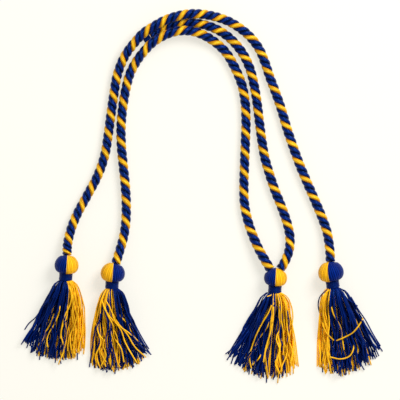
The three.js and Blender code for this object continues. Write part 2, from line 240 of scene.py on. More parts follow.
TASSEL_2 = TasselPlan(
    "tassel_2", ball=1.01, skirt=1, lean=-4, split=0, left=GOLD,
    locks=(
        Lock(GOLD, -0.85, -0.165, -0.2, -0.185, 0.94, 0.9, 0.1),
        Lock(GOLD, -0.6, -0.125, -0.145, -0.12, 0.99, 1, 0.7),
        Lock(GOLD, -0.38, -0.085, -0.08, -0.045, 1, 1.06, 0.85),
        Lock(GOLD, -0.15, -0.03, -0.01, 0.035, 1, 1, 0.8),
        Lock(GOLD, 0.05, 0.02, 0.06, 0.115, 0.97, 1.05, 0.6),
        Lock(BLUE, 0.28, 0.065, 0.13, 0.205, 0.95, 1.04, 0.3),
        Lock(BLUE, 0.5, 0.105, 0.19, 0.29, 0.9, 0.98, 0.3),
        Lock(BLUE, 0.68, 0.135, 0.24, 0.36, 0.86, 0.94, 0.15),
        Lock(BLUE, 0.85, 0.15, 0.275, 0.43, 0.78, 0.8, 0),
    ),
    strays=(
        Stray(GOLD, ((-99, 17), (-95.8, 6.9), (-83.9, -7.2), (-70, -17.5), (-61.4, -25.4))),
        Stray(GOLD, ((-93, 14), (-89.5, 5.5), (-83, -6), (-74, -17), (-66, -30), (-55.1, -40.2))),
        Stray(GOLD, ((-96, 18), (-90, 7), (-86, -4), (-80, -13), (-76, -25), (-70, -36), (-64, -46))),
        Stray(GOLD, ((-97, 12), (-93, 1), (-88, -8), (-87, -20), (-80, -31), (-77, -45))),
        Stray(GOLD, ((-88, 12), (-81, 1), (-74, -6), (-70, -15)), over=False),
        Stray(BLUE, ((-98, 16), (-99, 4), (-102, -8), (-101, -20), (-104, -34)), over=False),
        Stray(BLUE, ((-93, 14), (-92, 2), (-93, -12), (-90, -24), (-92, -40)), over=False),
        Stray(BLUE, ((-100, 6), (-101.4, -2.9), (-105.6, -12.8), (-108.4, -28.2), (-111.6, -50))),
        Stray(GOLD, ((-102, -17), (-97, -26), (-100, -35), (-95, -45))),
        Stray(GOLD, ((-94, -18), (-98, -28), (-95, -38), (-100, -49))),
        Stray(BLUE, ((-77, 13), (-73, 2), (-68, -8), (-63.5, -16.3), (-61.4, -27))),
        Stray(BLUE, ((-73, -13), (-61, -28), (-49.8, -37.7))),
        Stray(BLUE, ((-97, 9), (-93, -8), (-95, -24), (-92, -41))),
    ),
)
TASSEL_3 = TasselPlan(
    "tassel_3", ball=0.96, skirt=1.025, lean=-3.5, split=0, left=BLUE,
    locks=(
        Lock(BLUE, -0.85, -0.185, -0.41, -0.52, 0.76, 0.82, 0),
        Lock(BLUE, -0.65, -0.15, -0.335, -0.44, 0.86, 0.98, 0.08),
        Lock(BLUE, -0.42, -0.11, -0.255, -0.345, 0.93, 1.04, 0.15),
        Lock(BLUE, -0.2, -0.065, -0.18, -0.245, 0.97, 1.02, 0.2),
        Lock(BLUE, 0, -0.02, -0.105, -0.145, 1, 1.06, 0.25),
        Lock(GOLD, 0.2, 0.03, -0.03, -0.045, 1.01, 1.02, 0.35),
        Lock(GOLD, 0.42, 0.075, 0.05, 0.05, 1, 1.06, 0.25),
        Lock(GOLD, 0.62, 0.12, 0.125, 0.145, 0.96, 1, 0.1),
        Lock(GOLD, 0.85, 0.16, 0.19, 0.23, 0.88, 0.86, 0),
    ),
    strays=(
        Stray(GOLD, ((71.5, 15), (68.2, 5.9), (60.9, -6.8), (54.8, -18.9), (49.5, -34.3))),
        Stray(GOLD, ((68, 2), (67, -8), (63.5, -14.2), (58, -22), (54.2, -28.9)), over=False),
        Stray(GOLD, ((57, -24), (54.2, -31.6), (48.8, -39.6), (49, -45), (50.5, -51)), over=False),
        Stray(GOLD, ((61, -36), (57, -42.5), (54, -45), (51.5, -48)), over=False),
        Stray(BLUE, ((74.5, 14), (77, 2), (74, -12), (76, -26), (74, -44)), over=False),
        Stray(GOLD, ((72.5, 13), (72, -3), (69, -17), (65, -30), (62.5, -45))),
        Stray(GOLD, ((73.6, 17.3), (71.6, 10), (70.9, 2), (71.5, -5.5))),
        Stray(GOLD, ((71.6, 22.8), (69, 21.4), (66.2, 20.6))),
        Stray(BLUE, ((54, 2), (45.5, -11.5), (37, -24), (32.1, -30.9), (24.7, -36.9))),
        Stray(BLUE, ((49, -12), (38.8, -25.6), (32, -34), (26, -43))),
        Stray(BLUE, ((78, 14), (81, -1), (79, -17), (83, -33))),
        Stray(BLUE, ((86, 9), (88, -8), (86, -25))),
        Stray(GOLD, ((77.5, 24.5), (84, 20.5), (88, 13), (89.3, 3), (91, -8), (92, -22))),
        Stray(GOLD, ((80, 23), (84, 14), (85.5, 3), (86, -10), (89, -25))),
        Stray(GOLD, ((78.5, 22), (80.5, 12), (80, 0), (82, -13), (83, -27), (82, -38))),
        Stray(BLUE, ((65.5, 24.5), (60.5, 20), (57, 13.5), (53.5, 5), (48.5, -6))),
        Stray(BLUE, ((66.5, 24.5), (62, 19), (59, 12.5), (55.5, 4))),
    ),
)
TASSEL_4 = TasselPlan(
    "tassel_4", ball=1.065, skirt=1.035, lean=8.5, split=-14, left=GOLD,
    locks=(
        Lock(GOLD, -0.85, -0.13, -0.11, -0.125, 0.94, 0.9, 0),
        Lock(GOLD, -0.55, -0.075, -0.055, -0.05, 0.98, 1, 0.3),
        Lock(BLUE, -0.28, -0.03, 0.01, 0.035, 1.01, 1.04, 0.3),
        Lock(BLUE, -0.08, 0.015, 0.075, 0.115, 1, 1, 0.25),
        Lock(BLUE, 0.12, 0.055, 0.145, 0.2, 0.98, 1.06, 0.3),
        Lock(BLUE, 0.32, 0.095, 0.215, 0.29, 0.94, 1, 0.45),
        Lock(BLUE, 0.52, 0.14, 0.285, 0.375, 0.89, 1.04, 0.15),
        Lock(BLUE, 0.7, 0.165, 0.345, 0.45, 0.83, 0.96, 0.1),
        Lock(BLUE, 0.85, 0.19, 0.39, 0.51, 0.74, 0.8, 0),
    ),
    strays=(
        Stray(BLUE, ((128, 28.4), (124.8, 26.3), (119, 20.3), (117.2, 12.2), (118.6, 4))),
        Stray(GOLD, ((129.8, 28.4), (127.4, 26.2), (124.8, 24.4))),
        Stray(GOLD, ((126, 25.5), (121.8, 20), (119.8, 12), (118.7, 2), (117.7, -10), (118, -22))),
        Stray(GOLD, ((162, -1), (159.9, -5.2), (156, -11), (151.6, -15.9), (143, -20.5), (135.5, -23.6))),
        Stray(GOLD, ((153, -28), (152.2, -32.7), (148.9, -38.7), (140.2, -42), (128.8, -40))),
        Stray(GOLD, ((120.5, -1), (122.1, -9.2), (126.1, -16.6), (132.8, -23.3))),
        Stray(GOLD, ((130, 12), (132, 4), (136, -3.5), (139.6, -10), (141, -20), (143, -33)), over=False),
        Stray(GOLD, ((153, -20), (156, -26), (157, -33), (155, -41), (153, -49)), over=False),
        Stray(BLUE, ((145, 19), (151.5, 14.5), (154.6, 12.2), (156.5, 11))),
        Stray(BLUE, ((150, 20), (157, 8), (165, -4), (172, -17), (179.4, -29))),
        Stray(BLUE, ((155, 6), (162, -6), (169, -21), (174, -31), (177.7, -38.7))),
    ),
)
PLANS = (TASSEL_1, TASSEL_2, TASSEL_3, TASSEL_4)


class SmoothPath:
    """A smooth line through given points, measured along its length."""

    def __init__(self, points: Array | tuple, steps: int = 24) -> None:
        """Trace the line through the points, with so many steps between two, and measure it."""
        self.line = self._trace(np.asarray(points, dtype=float), steps)
        lengths = np.linalg.norm(np.diff(self.line, axis=0), axis=1)
        self.distance = np.concatenate([[0.0], np.cumsum(lengths)])

    @staticmethod
    def _trace(knots: Array, steps: int) -> Array:
        """Trace the centripetal Catmull-Rom curve that the solids follow too.

        Args:
            knots: the points that it goes through.
            steps: how many steps there are between two of them.

        Returns:
            The points of the curve.
        """
        ends = np.vstack([2 * knots[0] - knots[1], knots, 2 * knots[-1] - knots[-2]])
        share = np.linspace(0, 1, steps, endpoint=False)[:, None]
        spans = []
        for a, b, c, d in zip(ends, ends[1:], ends[2:], ends[3:]):
            ab, bc, cd = (math.sqrt(np.linalg.norm(q - p)) for p, q in ((a, b), (b, c), (c, d)))
            leave = ((b - a) / ab - (c - a) / (ab + bc) + (c - b) / bc) * bc
            arrive = ((c - b) / bc - (d - b) / (bc + cd) + (d - c) / cd) * bc
            square = 3 * (c - b) - 2 * leave - arrive
            cube = 2 * (b - c) + leave + arrive
            spans.append(b + leave * share + square * share**2 + cube * share**3)
        return np.vstack([*spans, knots[-1]])

    @property
    def length(self) -> float:
        """Length of the whole line."""
        return float(self.distance[-1])

    def at(self, distances: Array) -> Array:
        """Points at the given distances along the line."""
        return np.stack([np.interp(distances, self.distance, c) for c in self.line.T], axis=1)

    def spread(self, count: int) -> Array:
        """Points at equal distances, both ends among them."""
        return self.at(np.linspace(0, self.length, count))


def new_object(name: str, data: ID | None) -> Object:
    """Make an object of some data at the origin and link it to the scene."""
    made = bpy.data.objects.new(name, data)
    bpy.context.scene.collection.objects.link(made)
    return made


def unit(vectors: Array) -> Array:
    """Scale vectors in the last axis to length one."""
    return vectors / np.linalg.norm(vectors, axis=-1, keepdims=True)


def level_frames(points: Array) -> tuple[Array, Array]:
    """Upward and sideways directions square to a line that runs nearly level.

    Args:
        points: the line's points, one a row.

    Returns:
        One upward and one sideways direction for each point.
    """
    heading = unit(np.gradient(points, axis=0))
    up = unit(np.array([0.0, 0.0, 1.0]) - heading * heading[:, 2:3])
    return up, np.cross(heading, up)


class ShellMesh:
    """Closed shells in one mesh, each rolled up from a grid of points."""

    WELD = 1e-7
    SHARP = math.radians(75)

    def __init__(self) -> None:
        """Start an empty mesh."""
        self.mesh = bmesh.new()
        self.map = self.mesh.loops.layers.uv.new("UVMap")
        self.tone = self.mesh.verts.layers.float.new("tone")

    def add(
        self, points: Array, map_size: tuple[float, float] = (1, 1), tone: float = 1,
        slots: tuple[int, ...] = (0,),
    ) -> None:
        """Add one shell.

        Args:
            points: its points by row and column, the last column equal to the first.
            map_size: how far the UV map runs across the columns and along the rows.
            tone: how light this shell's yarn is.
            slots: material slots, in equal shares of the columns.
        """
        rows, columns = points.shape[0] - 1, points.shape[1] - 1
        first = len(self.mesh.faces)
        made = bmesh.ops.create_grid(
            self.mesh, x_segments=columns, y_segments=rows, size=1, calc_uvs=True
        )["verts"]
        for vert, place in zip(made, points.reshape(-1, 3)):
            vert.co = place
            vert[self.tone] = tone
        self.mesh.faces.ensure_lookup_table()
        for number, face in enumerate(self.mesh.faces[first:]):
            face.material_index = slots[(number % columns) * len(slots) // columns]
            for loop in face.loops:
                loop[self.map].uv = (
                    loop[self.map].uv[0] * map_size[0], loop[self.map].uv[1] * map_size[1]
                )

    def tube(
        self, points: Array, radii: Array, sides: int, pitch: float, tone: float = 1, slot: int = 0
    ) -> None:
        """Add a round tube with closed ends along a line that runs nearly level.

        Args:
            points: the line's points.
            radii: the tube's radius at each.
            sides: how many sides the tube has.
            pitch: the length along which the UV map runs once.
            tone: how light its yarn is.
            slot: its material slot.
        """
        up, side = level_frames(points)
        turn = np.linspace(0, 2 * math.pi, sides + 1)[None, :, None]
        ring = np.cos(turn) * up[:, None] + np.sin(turn) * side[:, None]
        rows = points[:, None] + ring * radii[:, None, None]
        length = np.linalg.norm(np.diff(points, axis=0), axis=1).sum()
        self.add(close_ends(rows, 0.4 * radii[-1]), (1, length / pitch), tone, (slot,))

    def finish(self, name: str, materials: tuple[Material, ...]) -> Object:
        """Weld the shells' seams and make the object.

        Args:
            name: the object's name.
            materials: its materials, by slot.

        Returns:
            The object, at the origin and linked to the scene.
        """
        bmesh.ops.remove_doubles(self.mesh, verts=self.mesh.verts, dist=self.WELD)
        bmesh.ops.recalc_face_normals(self.mesh, faces=self.mesh.faces)
        data = bpy.data.meshes.new(name)
        self.mesh.to_mesh(data)
        self.mesh.free()
        data.shade_smooth()
        data.set_sharp_from_angle(angle=self.SHARP)
        for material in materials:
            data.materials.append(material)
        LOG.info("%s: %d faces", name, len(data.polygons))
        return new_object(name, data)


def close_ends(rows: Array, bulge: float = 0) -> Array:
    """Add a pole before the first row and after the last.

    Args:
        rows: points by row and column, the last column equal to the first.
        bulge: how far each pole stands out of its row.

    Returns:
        The rows with a row at each end that is one point.
    """
    centres = rows[:, :-1].mean(axis=1)
    start = centres[0] + unit(centres[0] - centres[1]) * bulge
    end = centres[-1] + unit(centres[-1] - centres[-2]) * bulge
    first, last = (np.broadcast_to(pole, rows[0].shape) for pole in (start, end))
    return np.concatenate([first[None], rows, last[None]])


class NodeWriter:
    """Short ways to add nodes to one tree and link them."""

    def __init__(self, tree: NodeTree) -> None:
        """Write to this tree."""
        self.tree = tree

    def node(self, kind: str, **values: object) -> Node:
        """Add a node and set its properties."""
        made = self.tree.nodes.new(kind)
        for key, value in values.items():
            setattr(made, key, value)
        return made

    def feed(self, socket: NodeSocket, value: object) -> None:
        """Link a socket to another, or set its own value."""
        if isinstance(value, NodeSocket):
            self.tree.links.new(value, socket)
        else:
            socket.default_value = value

    def fill(self, inputs: NodeInputs, values: dict[str, object]) -> None:
        """Feed each named input its value; a colour of three numbers gets a full fourth."""
        for name, value in values.items():
            whole = isinstance(value, tuple) and len(value) == 3
            self.feed(inputs[name], (*value, 1) if whole else value)

    def math(self, operation: str, *values: object) -> NodeSocket:
        """Add a Math node and return its result."""
        made = self.node("ShaderNodeMath", operation=operation)
        for socket, value in zip(made.inputs, values):
            self.feed(socket, value)
        return made.outputs[0]

    def times(self, first: object, second: object) -> NodeSocket:
        """Multiply two numbers and return the result."""
        return self.math("MULTIPLY", first, second)

    def centred(self, value: object) -> NodeSocket:
        """Return the share of a number over its whole part, run from -1 to 1."""
        return self.math("MULTIPLY_ADD", self.math("FRACT", value), 2.0, -1.0)

    def blend(self, factor: object, first: object, second: object) -> NodeSocket:
        """Mix two colours and return the result."""
        made = self.node("ShaderNodeMix", data_type="RGBA")
        for index, value in ((0, factor), (6, first), (7, second)):
            self.feed(made.inputs[index], value)
        return made.outputs[2]


class YarnLines:
    """The shader group that all yarn shares: lines of yarn in a piece's own UV map, with painted shade in
    their grooves and down a strand's sides.
    """

    NAME = "Yarn lines and painted shade"
    INPUTS = (
        ("Map", "NodeSocketVector"), ("Lines", "NodeSocketFloat"), ("Slant", "NodeSocketFloat"),
        ("Side Shade", "NodeSocketFloat"), ("Cut", "NodeSocketFloat"), ("Tone", "NodeSocketFloat"),
        ("Colour", "NodeSocketColor"), ("Painted Shade", "NodeSocketColor"),
    )
    OUTPUTS = (("Colour", "NodeSocketColor"), ("Height", "NodeSocketFloat"))
    LEAST = 0.6
    BY_LINE = 0.45
    BY_PATCH = 0.4
    PATCH_SCALE = 260.0

    @classmethod
    def tree(cls) -> NodeTree:
        """The group's node tree, built on first use."""
        return bpy.data.node_groups.get(cls.NAME) or cls._build()

    @classmethod
    def _build(cls) -> NodeTree:
        """Build the group: light lines of yarn between grooves of painted shade, with painted shade down
        a strand's sides; each line a little different.

        Returns:
            The group's node tree.
        """
        tree = bpy.data.node_groups.new(cls.NAME, "ShaderNodeTree")
        for name, kind in cls.INPUTS:
            tree.interface.new_socket(name, in_out="INPUT", socket_type=kind)
        for name, kind in cls.OUTPUTS:
            tree.interface.new_socket(name, in_out="OUTPUT", socket_type=kind)
        write = NodeWriter(tree)
        given = write.node("NodeGroupInput").outputs
        split = write.node("ShaderNodeSeparateXYZ")
        write.feed(split.inputs[0], given["Map"])
        across, along = split.outputs[0], split.outputs[1]
        phase = write.math(
            "ADD", write.times(across, given["Lines"]), write.times(along, given["Slant"])
        )
        centred = write.centred(phase)
        height = write.math("SUBTRACT", 1.0, write.times(centred, centred))
        each = write.node("ShaderNodeTexWhiteNoise", noise_dimensions="1D")
        write.feed(each.inputs["W"], write.math("FLOOR", phase))
        patches = write.node("ShaderNodeTexNoise")
        patches.inputs["Scale"].default_value = cls.PATCH_SCALE
        write.feed(patches.inputs["Vector"], write.node("ShaderNodeTexCoord").outputs["Object"])
        # Painted shade: towards a strand's sides and in the grooves between yarn lines the colour turns
        # to the painted shade colour, so only the crowns keep the lit colour.
        sides = write.centred(across)
        edge = write.times(write.times(sides, sides), given["Side Shade"])
        lines = write.math("POWER", height, given["Cut"])
        middle = write.math("MAXIMUM", write.math("SUBTRACT", 1.0, edge), 0.0)
        lit = write.times(lines, write.math("POWER", middle, 2.0))
        varied = write.math(
            "ADD", write.math("MULTIPLY_ADD", each.outputs["Value"], cls.BY_LINE, cls.LEAST),
            write.times(patches.outputs["Fac"], cls.BY_PATCH),
        )
        shade = write.times(varied, given["Tone"])
        scale = write.node("ShaderNodeVectorMath", operation="SCALE")
        write.feed(scale.inputs[0], write.blend(lit, given["Painted Shade"], given["Colour"]))
        write.feed(scale.inputs["Scale"], shade)
        output = write.node("NodeGroupOutput")
        write.feed(output.inputs["Colour"], scale.outputs[0])
        write.feed(output.inputs["Height"], height)
        return tree


@dataclass(frozen=True)
class DyeAndShade:
    """One yarn's own colour where lit, a painted shade colour for its grooves and a strand's sides, and
    the tint of its gloss.
    """

    lit: Colour
    painted_shade: Colour
    gloss: Colour


# Each second colour is painted shade, for the grooves between yarn lines and the sides of strands.
BLUE_DYE_AND_SHADE = DyeAndShade((0.001, 0.01, 0.12), (0.0003, 0.0008, 0.012), (0.05, 0.25, 1.0))
GOLD_DYE_AND_SHADE = DyeAndShade((1.0, 0.54, 0.014), (0.62, 0.23, 0.002), (1.0, 0.75, 0.2))
DYES_AND_SHADES = {BLUE: BLUE_DYE_AND_SHADE, GOLD: GOLD_DYE_AND_SHADE}


@dataclass(frozen=True)
class YarnFinish:
    """One dyed yarn as it shows in one kind of piece.

    lines and slant lay the yarn lines over the piece's UV map, cut is how dark the painted shade in the
    grooves between them is, edge paints shade down the sides of a strand, lift and dip are shares of the
    dye's lit colour and of the painted shade colour, a lift over one on the rope being a painted
    highlight on each strand's crown, and depth is how deep the lines are, in metres.
    """

    name: str
    dye_and_shade: DyeAndShade
    lines: float
    slant: float
    edge: float = 0.0
    cut: float = 0.5
    lift: float = 1.0
    dip: float = 1.0
    depth: float = 0.1 * MM
    roughness: float = 0.4
    specular: float = 0.4
    sheen: float = 0.05
    toned: bool = False

    def material(self) -> Material:
        """The finish as a material."""
        material = bpy.data.materials.new(self.name)
        material.use_nodes = True
        write = NodeWriter(material.node_tree)
        lines = write.node("ShaderNodeGroup", node_tree=YarnLines.tree())
        # The lit colour, raised by lift, and the painted shade colour, scaled by dip; on the rope the
        # lift paints a highlight on the crowns.
        write.fill(lines.inputs, {
            "Map": write.node("ShaderNodeUVMap", uv_map="UVMap").outputs[0],
            "Lines": self.lines, "Slant": self.slant, "Side Shade": self.edge, "Cut": self.cut, "Tone": 1,
            "Colour": tuple(min(1, value * self.lift) for value in self.dye_and_shade.lit),
            "Painted Shade": tuple(value * self.dip for value in self.dye_and_shade.painted_shade),
        })
        if self.toned:
            tone = write.node("ShaderNodeAttribute", attribute_name="tone")
            write.feed(lines.inputs["Tone"], tone.outputs["Fac"])
        bump = write.node("ShaderNodeBump")
        write.fill(bump.inputs, {"Distance": self.depth, "Height": lines.outputs["Height"]})
        write.fill(material.node_tree.nodes["Principled BSDF"].inputs, {
            "Base Color": lines.outputs["Colour"], "Normal": bump.outputs["Normal"],
            "Roughness": self.roughness, "Specular IOR Level": self.specular,
            "Specular Tint": self.dye_and_shade.gloss, "Sheen Weight": self.sheen, "Sheen Tint": self.dye_and_shade.gloss,
        })
        return material


@dataclass(frozen=True)
class Finishes:
    """Every material of the cord, made once."""

    rope: dict[Yarn, Material]
    wound: dict[Yarn, Material]
    loose: dict[Yarn, Material]
    band: Material

    @classmethod
    def make(cls) -> "Finishes":
        """Make the materials of both yarns."""

        def both(kind: str, lifts: tuple[float, float], **look: float) -> dict[Yarn, Material]:
            """The same look in both yarns, each with its own lift."""
            return {
                yarn: YarnFinish(f"{kind} {yarn.value}", dye_and_shade, lift=lift, **look).material()
                for (yarn, dye_and_shade), lift in zip(DYES_AND_SHADES.items(), lifts)
            }

        return cls(
            # The rope's lifts paint a highlight along each strand's crown, and its edge and dip paint
            # shade down the strand's sides.
            rope=both("Rope", (1.6, 1.14), lines=5, slant=3, edge=1.4, cut=0.8, dip=0.85,
                roughness=0.27, specular=0.55, depth=0.15 * MM),
            wound=both("Wound yarn", (1.5, 0.95), lines=18, slant=2, cut=1.0, roughness=0.45,
                specular=0.15, depth=0.2 * MM),
            loose=both("Loose yarn", (1.0, 1.0), lines=2, slant=1, cut=0.3, roughness=0.35,
                depth=0.06 * MM, toned=True),
            band=YarnFinish("Band thread", BLUE_DYE_AND_SHADE, lines=2, slant=1, depth=0.08 * MM).material(),
        )


def dress(piece: Object, slot: str, *nodes: str) -> Object:
    """Attach a piece to the body that it rides on and hide the solids that it stands for.

    Args:
        piece: the piece.
        slot: the material slot in the part's record; not used.
        nodes: the solids that it stands for.

    Returns:
        The same piece.
    """
    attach(piece, BODY)
    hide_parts(*nodes)
    return piece


@dataclass
class TwistedRope:
    """One run of three-strand rope, two strands blue and one gold.

    lay is the length of one turn and first_gold the distance from the start to the first place
    where the gold strand is on top. tighter is how much of a turn the rope has more at its start,
    over about the length start. A strand is an oval: strand_place is how far its middle is from
    the rope's, and strand_radial and strand_across are its half axes. points is how many points
    a strand has round it, and step is how far apart the rope's sections are.
    """

    name: str
    route: Route
    lay: float
    first_gold: float
    tighter: float = 0.0
    start: float = 8 * MM
    strand_place: float = 2.15 * MM
    strand_radial: float = 2.8 * MM
    strand_across: float = 3.15 * MM
    points: int = 18
    step: float = 1.25 * MM
    knot_spacing: float = 4 * MM
    path: SmoothPath = field(init=False)

    def __post_init__(self) -> None:
        """Trace the middle line."""
        self.path = SmoothPath(self.route)

    def section(self) -> tuple[Array, Array]:
        """Polar outline of the three strands where they press on each other.

        Returns:
            The angles and the distances from the rope's middle line.
        """
        place, radial, wide = self.strand_place, self.strand_radial, self.strand_across
        turn = np.linspace(0, math.pi, 721)
        polar = np.arctan2(wide * np.sin(turn), place + radial * np.cos(turn))
        furthest = float(np.interp(math.pi / 3, polar[:600], turn[:600]))
        turn = np.linspace(-furthest, furthest, self.points + 1)[:-1]
        out, wide = place + radial * np.cos(turn), wide * np.sin(turn)
        angle, distance = np.arctan2(wide, out), np.hypot(wide, out)
        angles = np.concatenate([angle + strand * 2 * math.pi / 3 for strand in range(3)])
        return np.append(angles, angles[0] + 2 * math.pi), np.tile(distance, 4)[: len(angles) + 1]

    def build(self, finishes: Finishes) -> Object:
        """Make the rope, with its gold strand in the lay's first third."""
        count = round(self.path.length / self.step)
        distances = np.linspace(0, self.path.length, count + 1)
        points = self.path.at(distances)
        up, side = level_frames(points)
        angles, radii = self.section()
        turns = (distances - self.first_gold) / self.lay
        turns -= self.tighter * np.exp(-distances / self.start)
        twist = -2 * math.pi * turns
        phase = (angles + twist[:, None])[..., None]
        ring = np.cos(phase) * up[:, None] + np.sin(phase) * side[:, None]
        rows = points[:, None] + ring * radii[None, :, None]
        shell = ShellMesh()
        shell.add(close_ends(rows), (3, self.path.length / self.lay), slots=(1, 0, 0))
        materials = (finishes.rope[BLUE], finishes.rope[GOLD])
        return dress(shell.finish(f"{self.name}_rope", materials), "twisted_rope", self.name)

    def declare(self, piece: Object, far_end: str, *with_pieces: object) -> None:
        """Args:
            piece: the rope's object; not used.
            far_end: what its last point is on; not used.
            with_pieces: pieces that go with the rope; not used.
        """
        self.path.spread(round(self.path.length / self.knot_spacing)).tolist()


@dataclass(frozen=True)
class Coil:
    """Thread wound in close turns round an axis that runs down its frame's -Y.

    start and end are distances down the axis, thread is the thread's width, waist is how much
    narrower the coil is halfway down, and steps is how many steps there are in a turn. flat and
    wide are the thread's half thickness and half width, as shares of its width.
    """

    frame: Matrix
    radius: float
    start: float
    end: float
    thread: float
    waist: float = 0.0
    steps: int = 40
    flat: float = 0.42
    wide: float = 0.53

    def rows(self) -> Array:
        """The coil's thread as a grid of points."""
        turns = (self.end - self.start - self.thread) / self.thread
        angle = np.linspace(0, turns * 2 * math.pi, round(turns * self.steps) + 1)
        share = angle / angle[-1]
        tuck = 0.7 * self.thread * np.clip(1 - np.minimum(share, 1 - share) * turns * 8, 0, 1)
        radius = self.radius - self.waist * np.sin(share * math.pi) - tuck
        down = self.start + self.thread / 2 + share * (self.end - self.start - self.thread)
        out = np.stack([np.cos(angle), np.zeros_like(angle), np.sin(angle)], axis=1)
        centre = out * radius[:, None] + np.array([0.0, -1.0, 0.0]) * down[:, None]
        turn = np.linspace(0, 2 * math.pi, 9)[None, :, None]
        axis = np.array([0.0, 1.0, 0.0])[None, None]
        section = np.cos(turn) * out[:, None] * self.flat + np.sin(turn) * axis * self.wide
        rows = close_ends(centre[:, None] + section * self.thread)
        return placed(rows, self.frame)

    def add_to(self, shell: ShellMesh) -> None:
        """Add the coil to a mesh."""
        turns = (self.end - self.start) / self.thread
        shell.add(self.rows(), (1, turns * 2 * math.pi * self.radius / (2.2 * self.thread)))


def placed(points: Array, frame: Matrix) -> Array:
    """Move points by a matrix."""
    matrix = np.array(frame)
    return points @ matrix[:3, :3].T + matrix[:3, 3]


@dataclass(frozen=True)
class Whipping:
    """The bound end of a rope: a dome of yarn under a coil of thread."""

    rope: TwistedRope
    thread: float = 0.9 * MM
    rounding: float = 1.6 * MM
    bare: float = 1.2 * MM
    bed: float = 0.2
    steps: int = 6
    sides: int = 32

    def profile(self, core: float) -> list[tuple[float, float]]:
        """Distances down the axis and out from it of a core with a rounded end."""
        straight = WHIPPING_LENGTH - self.rounding
        turns = np.linspace(0, math.pi / 2, self.steps + 1)[1:-1]
        return [(0, core), (straight, core)] + [
            (WHIPPING_LENGTH - self.rounding * (1 - math.sin(a)), core * math.cos(a)) for a in turns
        ]

    def build(self, finishes: Finishes) -> Object:
        """Make the whipping where the rope ends."""
        before, end = (np.array(point) for point in self.rope.route[-2:])
        heading = unit(end - before)
        up, side = (direction[0] for direction in level_frames(np.array([before, end])))
        columns = (side, -heading, up, end + heading * GAP)
        frame = Matrix((*np.column_stack(columns), (0, 0, 0, 1)))
        radius = WHIPPING_DIAMETER / 2 - Coil.flat * self.thread
        turn = np.linspace(0, 2 * math.pi, self.sides + 1)
        rows = np.array([
            [(out * math.cos(t), -down, out * math.sin(t)) for t in turn]
            for down, out in self.profile(radius - self.bed * self.thread)
        ])
        shell = ShellMesh()
        shell.add(close_ends(placed(rows, frame), 0.02 * MM), (1, 1))
        Coil(frame, radius, 0, WHIPPING_LENGTH - self.bare, self.thread).add_to(shell)
        piece = shell.finish("cord_middle_bound_end", (finishes.band,))
        return dress(piece, "band_thread", f"{self.rope.name}_whipping")


@dataclass(frozen=True)
class WoundBall:
    """The ball over a neck, wound in two yarns that meet along a line down its front.

    crown is the upper half's height and lip the radius at which the lower half ends, tucked under
    by the gap above the band. A dimple goes from dimple_edge to dimple_floor, as angles from a
    rope's end, and is dimple_depth deep as a share of the radius.
    """

    plan: TasselPlan
    frame: Matrix
    radius: float
    rope_ends: Route
    arc: int = 40
    step: float = math.radians(3)
    tuck_steps: int = 24
    lip: float = 7 * MM
    gap: float = 0.1 * MM
    split_gap: float = 0.05 * MM
    crown: float = 0.93
    dimple_floor: float = math.radians(25)
    dimple_edge: float = math.radians(34)
    dimple_depth: float = 0.06

    def profile(self) -> Array:
        """Distances down the axis and out from it, from the top to the end of the core."""
        upper = np.arange(0.5, math.pi / 2 / self.step) * self.step
        ball = np.stack([-self.crown * np.cos(upper), np.sin(upper)], axis=1) * self.radius
        lower = np.linspace(0, math.pi / 2, self.tuck_steps)
        foot = BAND_PLACE * self.radius - self.gap
        tucked = np.stack([
            foot * np.sin(lower), self.lip + (self.radius - self.lip) * np.cos(lower)
        ], axis=1)
        end = BAND_PLACE * self.radius + BAND_LENGTH - 1 * MM
        return np.vstack([ball, tucked, [(foot, CORE_RADIUS), (end, CORE_RADIUS)]])

    def dimpled(self, points: Array) -> Array:
        """Draw the surface in round each rope's end, where the yarn is gathered.

        Args:
            points: points of the ball in its own frame.

        Returns:
            The points, drawn towards the ball's middle near the ropes.
        """
        to_local = np.array(self.frame.inverted())
        floor, edge = math.cos(self.dimple_floor), math.cos(self.dimple_edge)
        for end in self.rope_ends:
            towards = unit(to_local[:3, :3] @ np.array(end) + to_local[:3, 3])
            near = unit(points) @ towards
            share = eased(np.clip((near - edge) / (floor - edge), 0, 1))
            points = points * (1 - self.dimple_depth * share)[..., None]
        return points

    def add_half(self, shell: ShellMesh, yarn: Yarn) -> None:
        """Add the half in one yarn, closed along the line between them."""
        side = -1 if yarn is self.plan.left else 1
        angle = np.linspace(-math.pi / 2, math.pi / 2, self.arc + 1)
        profile = self.profile()
        rows = np.empty((len(profile), self.arc + 2, 3))
        arc = np.stack([side * np.cos(angle), np.zeros_like(angle), np.sin(angle)], axis=1)
        for row, (down, out) in zip(rows, profile):
            row[:-1] = arc * out + np.array([side * self.split_gap, -down, 0])
            row[-1] = row[0]
        turn = np.array(Matrix.Rotation(math.radians(self.plan.split), 3, "Y"))
        rows = self.dimpled(close_ends(rows @ turn.T))
        shell.add(placed(rows, self.frame), (1, 1))


def around(values: Array, reach: int) -> Array:
    """The values and their neighbours on each side, a row each, as if the end values went on."""
    wide = np.pad(values, reach, mode="edge")
    return np.stack([wide[i : i + len(values)] for i in range(2 * reach + 1)])


def eased(share: Array) -> Array:
    """Ease a share in and out between 0 and 1."""
    return share * share * (3 - 2 * share)


